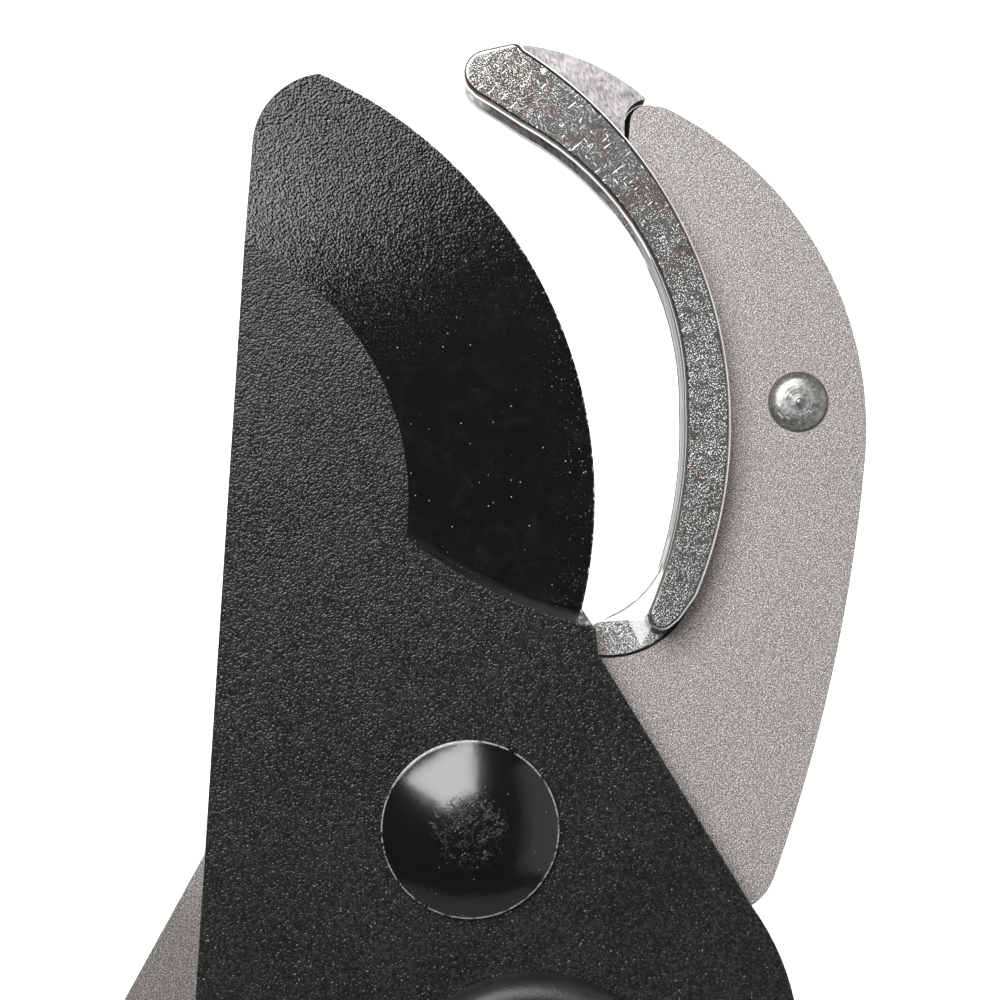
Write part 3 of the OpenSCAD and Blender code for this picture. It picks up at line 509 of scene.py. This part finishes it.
def copyOf(name, node):
    # a new piece that starts from a CAD node's mesh, with its loose triangles joined
    piece = bpy.data.objects.new(name, nodes[node].data.copy())
    bpy.context.collection.objects.link(piece)
    selectOnly(piece)
    bpy.ops.object.mode_set(mode="EDIT")
    bpy.ops.mesh.select_all(action="SELECT")
    bpy.ops.mesh.remove_doubles(threshold=near["weld"] * mm)
    bpy.ops.mesh.dissolve_degenerate(threshold=near["sliver"] * mm)
    bpy.ops.mesh.dissolve_limited(angle_limit=math.radians(near["bend"]))
    bpy.ops.object.mode_set(mode="OBJECT")
    return piece


def bevelEdges(piece, width, segments, wanted=None, sharp=35):
    # rounds the sharp edges for which wanted is true of their middle, in millimetres
    selectOnly(piece)
    bpy.ops.object.mode_set(mode="EDIT")
    bpy.ops.mesh.select_mode(type="EDGE")
    bpy.ops.mesh.select_all(action="DESELECT")
    mesh = bmesh.from_edit_mesh(piece.data)
    for edge in mesh.edges:
        if len(edge.link_faces) == 2 and edge.calc_face_angle() > math.radians(sharp):
            middle = (edge.verts[0].co + edge.verts[1].co) / 2 / mm
            if wanted is None or wanted(middle, edge):
                edge.select_set(True)
    bmesh.update_edit_mesh(piece.data)
    bpy.ops.mesh.bevel(offset=width * mm, segments=segments, affect="EDGES", clamp_overlap=False)
    bpy.ops.object.mode_set(mode="OBJECT")


def smoothed(piece, angle):
    # smooth shading that leaves the flat faces flat
    selectOnly(piece)
    bpy.ops.object.shade_smooth_by_angle(angle=math.radians(angle))
    bpy.ops.object.modifier_add(type="WEIGHTED_NORMAL")
    piece.modifiers[-1].keep_sharp = True
    bpy.ops.object.modifier_apply(modifier=piece.modifiers[-1].name)


def extruded(rise):
    bpy.ops.mesh.extrude_region_move(TRANSFORM_OT_translate={"value": (0, 0, rise * mm)})


def lathed(name, profile, centre, steps):
    # a turned piece, drawn out ring by ring: profile holds (radius, height) in millimetres,
    # from the middle of the top to the middle of the underside
    rings = profile[1:-1]
    x, y = centre[0] * mm, centre[1] * mm
    bpy.ops.object.select_all(action="DESELECT")
    bpy.ops.mesh.primitive_circle_add(vertices=steps, radius=rings[0][0] * mm, fill_type="NOTHING",
                                      location=(x, y, rings[0][1] * mm))
    piece = bpy.context.object
    piece.name = name
    bpy.ops.object.transform_apply(location=True, rotation=False, scale=False)
    bpy.ops.object.mode_set(mode="EDIT")
    bpy.ops.mesh.select_mode(type="EDGE")
    bpy.ops.mesh.select_all(action="SELECT")
    for (radius, height), (newRadius, newHeight) in zip(rings, rings[1:]):
        extruded(newHeight - height)
        growth = newRadius / radius
        bpy.ops.transform.resize(value=(growth, growth, 1), center_override=(x, y, newHeight * mm))
    extruded(profile[-1][1] - rings[-1][1])
    bpy.ops.mesh.merge(type="CENTER")
    bpy.ops.mesh.select_mode(type="EDGE")
    bpy.ops.mesh.select_all(action="DESELECT")
    bpy.ops.mesh.select_non_manifold()  # the ring that is still open
    extruded(profile[0][1] - rings[0][1])
    bpy.ops.mesh.merge(type="CENTER")
    bpy.ops.mesh.select_all(action="SELECT")
    bpy.ops.mesh.remove_doubles(threshold=near["weld"] * mm)
    bpy.ops.mesh.normals_make_consistent(inside=False)
    bpy.ops.object.mode_set(mode="OBJECT")
    return piece


def planDistance(place, centre):
    # distance seen from above, in millimetres
    return math.hypot(place.x - centre[0], place.y - centre[1])


def finishPiece(piece, finish, body, replaced):
    piece.data.materials.clear()
    piece.data.materials.append(finishes[finish])
    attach(piece, body)
    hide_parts(replaced)


# Blade. keepOff and keepUnder say where the thin cutting edge is left as it is

blade = {"edgeRound": 0.22, "segments": 3, "keepOff": 2.6, "keepUnder": 1.0, "smooth": 6}


def frontEdges(middle, edge):
    # all sharp edges of the front, but not the thin cutting edge
    fromEdge = planDistance(middle, head["edgeCentre"])
    upward = max(face.normal.z for face in edge.link_faces)
    onEdge = (abs(fromEdge - head["edgeRadius"]) < blade["keepOff"]
              and middle.z < head["bladeFront"] - blade["keepUnder"])
    return upward > near["up"] and not onEdge


def addBlade():
    piece = copyOf("blade_body", "blade")
    bevelEdges(piece, blade["edgeRound"], blade["segments"], frontEdges)
    smoothed(piece, blade["smooth"])
    finishPiece(piece, "blade", "blade", "blade")


addBlade()

# Anvil insert. The facet is cut along facetLine, and its rim points sink by facetDrops

insert = {
    "ridgeRound": 0.65, "ridgeSegments": 4, "footRound": 0.4, "footSegments": 3, "footSharp": 60,
    "rimReach": 0.2, "smooth": 30,
    "facetLine": ((16.35, 26.4), (20.9, 27.2)),
    "facetDrops": (((18.2, 27.5), 0.2), ((20.2, 28.6), 0.42), ((22.2, 29.9), 0.5),
                   ((23.8, 31.6), 0.35), ((25.0, 33.4), 0.1)),
}


def layFacet(piece):
    # the inner part of the foot slopes down to the opening: one cut, then the rim sinks
    first, second = (Vector((*point, 0)) * mm for point in insert["facetLine"])
    selectOnly(piece)
    bpy.ops.object.mode_set(mode="EDIT")
    bpy.ops.mesh.select_mode(type="FACE")
    bpy.ops.mesh.select_all(action="DESELECT")
    mesh = bmesh.from_edit_mesh(piece.data)
    for face in mesh.faces:
        middle = face.calc_center_bounds() / mm
        onFront = abs(middle.z - head["plateFront"]) < near["level"]
        upward = face.normal.z > near["up"]
        face.select_set(onFront and upward and middle.y < head["footReach"])
    bmesh.update_edit_mesh(piece.data)
    across = (second - first).cross(Vector((0, 0, 1)))
    bpy.ops.mesh.bisect(plane_co=first, plane_no=across.normalized())
    bpy.ops.mesh.mark_sharp()
    bpy.ops.mesh.select_mode(type="VERT")
    for corner, drop in insert["facetDrops"]:
        bpy.ops.mesh.select_all(action="DESELECT")
        mesh = bmesh.from_edit_mesh(piece.data)
        for vertex in mesh.verts:
            place = vertex.co / mm
            vertex.select_set(planDistance(place, corner) < near["corner"]
                              and abs(place.z - head["plateFront"]) < near["level"])
        bmesh.update_edit_mesh(piece.data)
        bpy.ops.transform.translate(value=(0, 0, -drop * mm))
    bpy.ops.object.mode_set(mode="OBJECT")


def ridgeEdges(middle, edge):
    return middle.z > head["ridgeTop"] - near["corner"]


def footEdges(middle, edge):
    # the outer rim of the foot, between its top and its wall
    downward = min(face.normal.z for face in edge.link_faces)
    upward = max(face.normal.z for face in edge.link_faces)
    fromCentre = planDistance(middle, head["footCentre"])
    outer = (abs(fromCentre - head["footRadius"]) < insert["rimReach"]
             and middle.y < head["footCentre"][1])
    onFront = abs(middle.z - head["plateFront"]) < near["level"]
    return onFront and upward > near["up"] and downward > -0.5 and outer


def addInsert():
    piece = copyOf("anvil_jaw", "anvil_insert")
    layFacet(piece)
    bevelEdges(piece, insert["ridgeRound"], insert["ridgeSegments"], ridgeEdges)
    bevelEdges(piece, insert["footRound"], insert["footSegments"], footEdges, insert["footSharp"])
    smoothed(piece, insert["smooth"])
    finishPiece(piece, "chrome", "anvil_side", "anvil_insert")


addInsert()

# Anvil plate and gear plate. The seat of the insert stays sharp inside seatReach, apart from
# the tang and the round end

plate = {
    "edgeRound": 0.15, "segments": 3, "seatReach": 68.5, "tangReach": 14.0, "endReach": 3.2,
    "endRadius": 2.8, "endTop": 2.35, "endBottom": 3.05, "footGap": 0.1, "footOpen": 0.35,
    "smooth": 30,
}


def plateEdges(middle, edge):
    # the level edges of a plate, but not those of the seat
    level = abs(edge.verts[0].co.z - edge.verts[1].co.z) < near["even"] * mm
    offSeat = planDistance(middle, head["closedCentre"]) > plate["seatReach"]
    onEnd = planDistance(middle, head["plateEnd"]) < plate["endReach"]
    return level and (offSeat or onEnd or middle.y < plate["tangReach"])


def leanArc(piece, centre, radius, newRadius, atFront, highest=math.inf):
    # moves the vertices of an arc, at one face of the plate, to another radius
    bpy.ops.mesh.select_all(action="DESELECT")
    mesh = bmesh.from_edit_mesh(piece.data)
    for vertex in mesh.verts:
        place = vertex.co / mm
        onArc = abs(planDistance(place, centre) - radius) < near["arc"]
        onFront = place.z > head["plateFront"] - near["level"]
        vertex.select_set(onArc and place.y < highest and onFront == atFront)
    bmesh.update_edit_mesh(piece.data)
    growth = newRadius / radius
    bpy.ops.transform.resize(value=(growth, growth, 1),
                             center_override=(centre[0] * mm, centre[1] * mm, 0))


def openGaps(piece):
    # the walls of the plate lean back beside the insert, so that a dark gap shows there
    selectOnly(piece)
    bpy.ops.object.mode_set(mode="EDIT")
    bpy.ops.mesh.select_mode(type="VERT")
    leanArc(piece, head["plateEnd"], plate["endRadius"], plate["endTop"], True)
    leanArc(piece, head["plateEnd"], plate["endRadius"], plate["endBottom"], False)
    foot = head["footRadius"] + plate["footGap"]
    leanArc(piece, head["footCentre"], foot, foot + plate["footOpen"], True, head["footCentre"][1])
    bpy.ops.object.mode_set(mode="OBJECT")


def addPlates():
    for name, node, body in (("hooked_plate", "anvil_plate", "anvil_side"),
                             ("gear_bar", "gear_plate", "gear_handle")):
        piece = copyOf(name, node)
        if node == "anvil_plate":
            openGaps(piece)
        bevelEdges(piece, plate["edgeRound"], plate["segments"], plateEdges)
        smoothed(piece, plate["smooth"])
        finishPiece(piece, "plate", body, node)


addPlates()

# Domed head of the pivot bolt, with its shank: heights are above the blade, foot is the shank's end

dome = {"gap": 0.15, "rim": 0.6, "bevel": 0.11, "bevelSteps": 4, "height": 3.6, "rings": 28,
        "underEdge": 0.1, "shank": 6.0, "shankEdge": 0.5, "foot": 1.5, "steps": 128, "smooth": 35}


def addDome():
    radius = head["domeRadius"]
    base = head["bladeFront"] + dome["gap"]
    cap = dome["height"] - dome["rim"]
    reach = radius - dome["bevel"]
    sphere = (reach ** 2 + cap ** 2) / (2 * cap)
    lean = math.asin(reach / sphere)
    profile = []
    for i in range(dome["rings"] + 1):
        angle = lean * i / dome["rings"]
        fall = sphere * (1 - math.cos(angle))
        profile.append((sphere * math.sin(angle), base + dome["height"] - fall))
    for i in range(1, dome["bevelSteps"] + 1):
        angle = math.pi / 2 * i / dome["bevelSteps"]
        fall = dome["bevel"] * (1 - math.cos(angle))
        profile.append((reach + dome["bevel"] * math.sin(angle), base + dome["rim"] - fall))
    profile += [(radius, base + dome["underEdge"]), (radius - dome["underEdge"], base),
                (dome["shank"], base), (dome["shank"], dome["foot"] + dome["shankEdge"]),
                (dome["shank"] - dome["shankEdge"], dome["foot"]), (0, dome["foot"])]
    piece = lathed("pivot_dome", profile, (0, 0), dome["steps"])
    smoothed(piece, dome["smooth"])
    finishPiece(piece, "pivot", "anvil_side", "pivot_bolt")


addDome()

# Rivet of the insert: button holds (radius, height above the plate), from the nib to the rim

rivet = {
    "button": ((0, 1.5), (0.25, 1.48), (0.42, 1.38), (0.55, 1.22), (0.9, 1.16), (1.5, 1.18),
               (2.2, 1.14), (2.8, 1.02), (3.2, 0.86), (3.5, 0.66), (3.72, 0.40), (3.82, 0.18),
               (3.85, 0.0)),
    "shank": 2.25, "tail": 3.4, "tailHeight": 1.0, "tailEdge": 0.5, "tailRise": 0.4,
    "steps": 96, "smooth": 40,
}


def addRivet():
    base = head["plateFront"]
    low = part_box("anvil_rivet")[0].z / mm
    shank, tail, tailTop = rivet["shank"], rivet["tail"], low + rivet["tailHeight"]
    profile = [(radius, base + height) for radius, height in rivet["button"]]
    profile += [(shank, base), (shank, tailTop), (tail, tailTop),
                (tail, low + rivet["tailRise"]), (tail - rivet["tailEdge"], low), (0, low)]
    piece = lathed("rivet_button", profile, head["rivet"], rivet["steps"])
    smoothed(piece, rivet["smooth"])
    finishPiece(piece, "rivet", "anvil_side", "anvil_rivet")


addRivet()

# Pieces that are the CAD shapes with their edges rounded: finish, slot, width of the rounding and
# its segments

rounded = {
    "pivot_nut": ("zinc", "nut_steel", 0.3, 3),
    "pivot_lock_washer": ("washer", "washer_steel", 0.2, 2),
    "pivot_shim": ("washer", "washer_steel", 0.1, 2),
    "pivot_bush": ("bronze", "bronze", 0.15, 2),
    "hub_pin": ("zinc", "nut_steel", 0.2, 2),
    "hub_nut": ("zinc", "nut_steel", 0.25, 3),
    "hub_shim": ("washer", "washer_steel", 0.1, 2),
}
for side in ("left", "right"):
    rounded.update({
        side + "_socket_front": ("socket", "socket_black", 0.5, 3),
        side + "_socket_back": ("socket", "socket_black", 0.5, 3),
        side + "_screw": ("zinc", "nut_steel", 0.2, 3),
        side + "_rivets": ("stud", "rivet_steel", 0.15, 2),
        side + "_bumper": ("rubber", "rubber", 0.4, 3),
        side + "_tube": ("tube", "tube_paint", 0.3, 3),
        side + "_grip": ("grip", "grip_black", 0.6, 3),
        side + "_end_cap": ("cap", "cap_grey", 1.0, 4),
    })

# edges that turn by more than sharp are rounded, except where the arm of the right socket runs
# into its hub cover, between neckLow and neckHigh
rounding = {"sharp": 50, "smooth": 32, "neckLow": -76.0, "neckHigh": -66.5}


def offNeck(middle, edge):
    return not rounding["neckLow"] < middle.y < rounding["neckHigh"]


def addRounded():
    for node, (finish, slotName, width, segments) in rounded.items():
        piece = copyOf(node + "_piece", node)
        wanted = offNeck if node.startswith("right_socket") else None
        bevelEdges(piece, width, segments, wanted, rounding["sharp"])
        smoothed(piece, rounding["smooth"])
        finishPiece(piece, finish, nodes[node]["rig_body"], node)


addRounded()
print("pieces modelled")


# Floor, light and camera. The camera looks straight down: frameWidth, distance and over are in
# millimetres at the front of the plate, the rest is in metres

studio = {
    "frameWidth": 133.333, "distance": 350.0, "over": (3.93, 43.24), "nearest": 0.01,
    "floorSize": 40.0, "floorTone": (0.92, 0.92, 0.92), "floorRough": 0.6, "floorGlow": 0.9,
    "air": 0.12,
    # place, the way the front looks, width and length, brightness
    "panels": {
        "keyPanel": ((-0.22, 0.458, 1.12), (0.573, -0.788, -0.144), (0.71, 1.17), 10.4),
        "rightPanel": ((1.05, 0.03, 0.72), (-0.82, 0.0, -0.57), (1.7, 1.1), 0.32),
        "rightEdgePanel": ((1.15, 0.03, 0.60), (-0.82, 0.0, -0.57), (1.7, 1.1), 0.28),
        "lowPanel": ((-0.04, -1.1, 0.34), (0.0, 0.86, -0.5), (1.7, 0.9), 0.34),
    },
}


def addFloor():
    bpy.ops.object.select_all(action="DESELECT")
    bpy.ops.mesh.primitive_plane_add(size=studio["floorSize"], location=(0, 0, 0))
    floor = bpy.context.object
    floor.name = "floor"
    f = Finish("paleFloor")
    f.set(color=studio["floorTone"], rough=studio["floorRough"], glow=studio["floorGlow"],
          glowColor=(1.0, 1.0, 1.0))
    floor.data.materials.append(f.material)


def addPanel(name, place, facing, size, brightness):
    data = bpy.data.lights.new(name, "AREA")
    data.shape = "RECTANGLE"
    data.size, data.size_y = size
    data.energy = brightness * math.pi * size[0] * size[1]
    lamp = bpy.data.objects.new(name, data)
    bpy.context.collection.objects.link(lamp)
    lamp.location = place
    lamp.rotation_euler = Vector(facing).to_track_quat("-Z", "Y").to_euler()


def addAir():
    world = bpy.data.worlds.new("studioAir")
    world.use_nodes = True
    background = world.node_tree.nodes["Background"]
    background.inputs["Color"].default_value = (1.0, 1.0, 1.0, 1.0)
    background.inputs["Strength"].default_value = studio["air"]
    bpy.context.scene.world = world


def addCamera():
    data = bpy.data.cameras.new("camera")
    data.sensor_fit = "HORIZONTAL"
    data.angle = 2 * math.atan(studio["frameWidth"] / 2 / studio["distance"])
    data.clip_start = studio["nearest"]
    camera = bpy.data.objects.new("camera", data)
    bpy.context.collection.objects.link(camera)
    x, y = studio["over"]
    camera.location = (x * mm, y * mm, (head["plateFront"] + studio["distance"]) * mm)
    bpy.context.scene.camera = camera


addFloor()
for name, values in studio["panels"].items():
    addPanel(name, *values)
addAir()
addCamera()
bpy.context.scene.view_settings.view_transform = "Standard"
print("studio ready")
